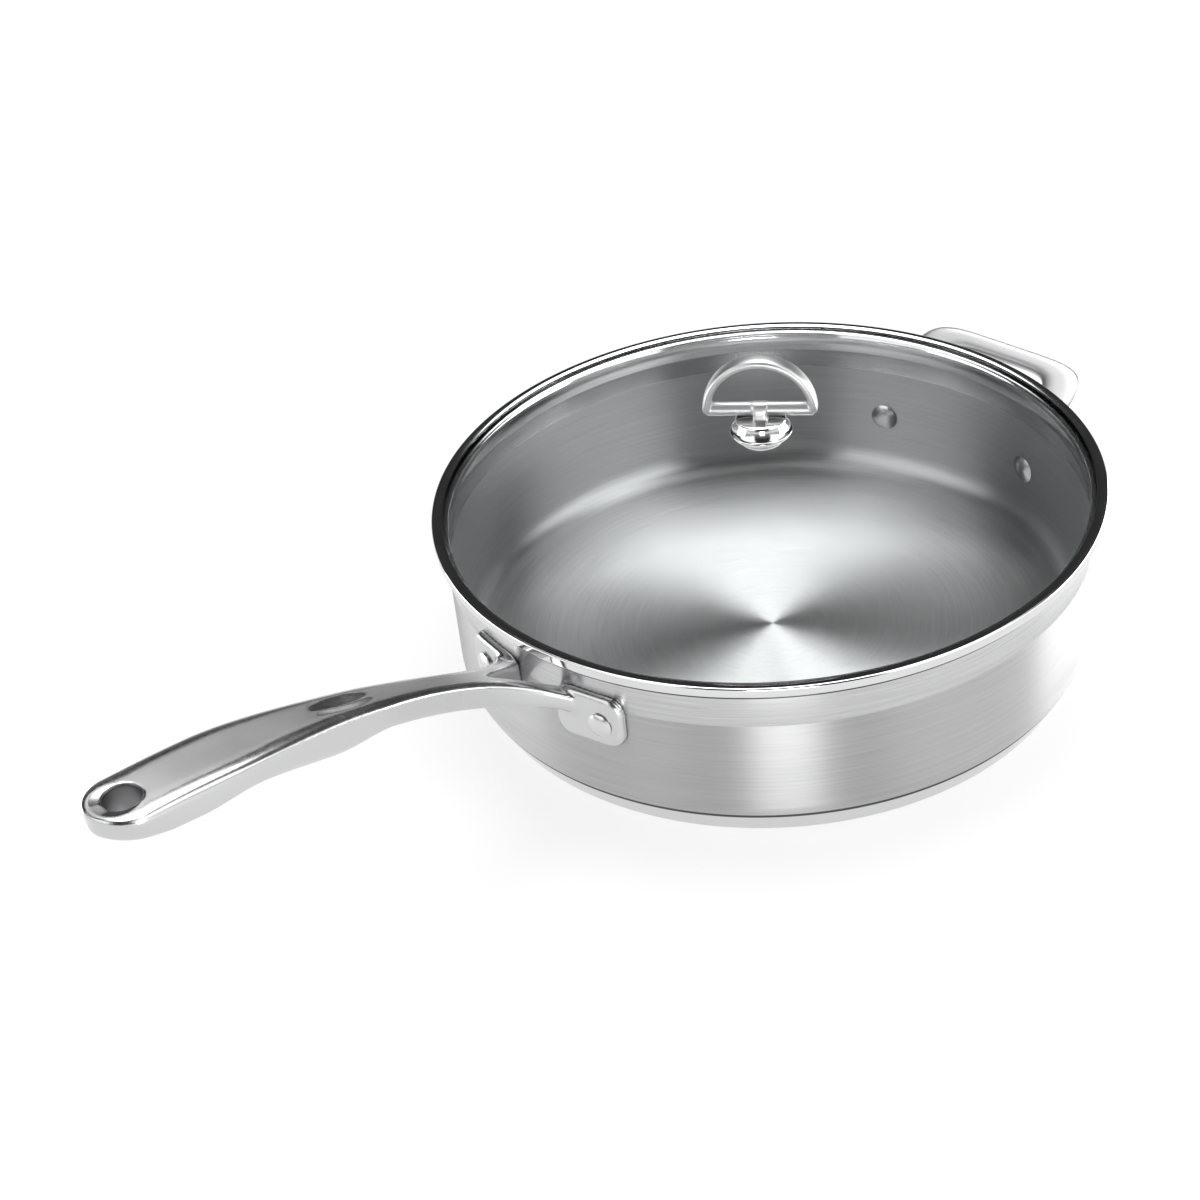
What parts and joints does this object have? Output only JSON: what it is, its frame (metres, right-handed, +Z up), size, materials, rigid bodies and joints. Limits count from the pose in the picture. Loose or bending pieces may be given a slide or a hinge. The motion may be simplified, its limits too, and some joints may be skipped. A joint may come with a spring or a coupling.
{
  "type": "saute pan with lid",
  "caption": "Straight-sided steel saute pan with a bonded base, a forked long handle, a helper handle, and a domed glass lid with a loop knob that lifts off.",
  "frame": {"origin": "centre of the base's underside, on the surface that the pan stands on", "axes": "+Z up, out of the pan; the long handle points along -X and the helper handle along +X; -Z is the base's outward normal"},
  "size_m": [0.5262, 0.2916, 0.1444],
  "materials": {
    "brushed_body": "brushed around the wall and floor, with a finer band below the rim",
    "base_aluminium": "plain, hidden inside the base",
    "base_cap_steel": "satin",
    "cast_steel": "cast steel, polished at the edges and satin on top",
    "rivet_steel": "polished",
    "clear_glass": "clear tempered glass",
    "lid_band_steel": "polished",
    "knob_steel": "polished",
    "seal_silicone": "translucent silicone",
    "fastener_steel": "plain"
  },
  "bodies": {
    "pan": {"pan_body": "brushed_body", "base_core": "base_aluminium", "base_cap": "base_cap_steel", "long_handle": "cast_steel", "long_handle_rivets": "rivet_steel", "helper_handle": "cast_steel", "helper_handle_rivets": "rivet_steel"},
    "lid": {"lid_glass": "clear_glass", "lid_band": "lid_band_steel", "knob_base": "knob_steel", "knob_loop": "knob_steel", "knob_seal": "seal_silicone", "under_seal": "seal_silicone", "knob_washer": "fastener_steel", "knob_screw": "fastener_steel"}
  },
  "joints": [
    {"name": "lid_lift", "type": "slide", "parent": "pan", "child": "lid", "axis": [0, 0, 1], "range_m": [0, 0.12]}
  ]
}
